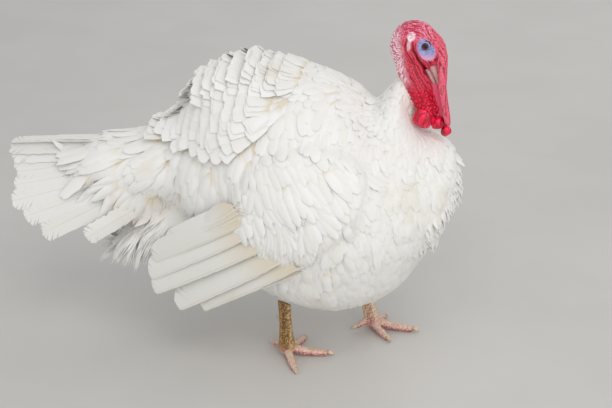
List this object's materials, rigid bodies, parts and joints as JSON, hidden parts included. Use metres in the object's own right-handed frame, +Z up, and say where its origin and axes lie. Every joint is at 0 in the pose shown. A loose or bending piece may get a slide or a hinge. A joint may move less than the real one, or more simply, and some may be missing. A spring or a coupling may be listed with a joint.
{
  "type": "domestic turkey",
  "caption": "Life-size still model of a mature white domestic turkey tom, standing in mid-stride with a naked red head, hanging snood and low folded tail.",
  "frame": {"origin": "on the floor, under the middle of the bird's bounding box", "axes": "+X the way the bird faces, +Y to its left, +Z up"},
  "size_m": [0.9476, 0.442, 0.725],
  "materials": {
    "plumage": "soft matt white contour feathers with warm beige shade between them",
    "breast_plumage": null,
    "flight_feather": "smooth satin white vanes with ivory shafts",
    "head_skin": "moist, wrinkled and warty naked skin, crimson on the throat, pink on the crown, lilac blue round the eye",
    "bill_horn": "smooth greyish pink horn",
    "eye": "wet dark brown iris and black pupil under a clear cornea",
    "leg_skin": "dry horny scales, olive tan on the shanks and pink on the toes",
    "claw_horn": "dull pale horn"
  },
  "bodies": {
    "root": {"breast": "breast_plumage", "back": "plumage", "neck": "plumage", "tail_coverts": "plumage", "vent": "plumage", "tail_right": "flight_feather", "tail_outer_right": "flight_feather", "wing_right": "plumage", "wing_feathers_right": "flight_feather", "tail_left": "flight_feather", "tail_outer_left": "flight_feather", "wing_left": "plumage", "wing_feathers_left": "flight_feather", "snood": "head_skin", "bill_upper": "bill_horn", "bill_lower": "bill_horn", "head": "head_skin", "throat": "head_skin", "eye_right": "eye", "eye_left": "eye", "dewlap": "head_skin", "caruncle_right": "head_skin", "caruncle_left": "head_skin", "caruncle_middle": "head_skin", "caruncle_tip": "head_skin", "thigh_right": "plumage", "shank_right": "leg_skin", "spur_right": "claw_horn", "toe_middle_right": "leg_skin", "claw_middle_right": "claw_horn", "toe_inner_right": "leg_skin", "claw_inner_right": "claw_horn", "toe_outer_right": "leg_skin", "claw_outer_right": "claw_horn", "toe_hind_right": "leg_skin", "claw_hind_right": "claw_horn", "thigh_left": "plumage", "shank_left": "leg_skin", "spur_left": "claw_horn", "toe_middle_left": "leg_skin", "claw_middle_left": "claw_horn", "toe_inner_left": "leg_skin", "claw_inner_left": "claw_horn", "toe_outer_left": "leg_skin", "claw_outer_left": "claw_horn", "toe_hind_left": "leg_skin", "claw_hind_left": "claw_horn"}
  },
  "joints": []
}
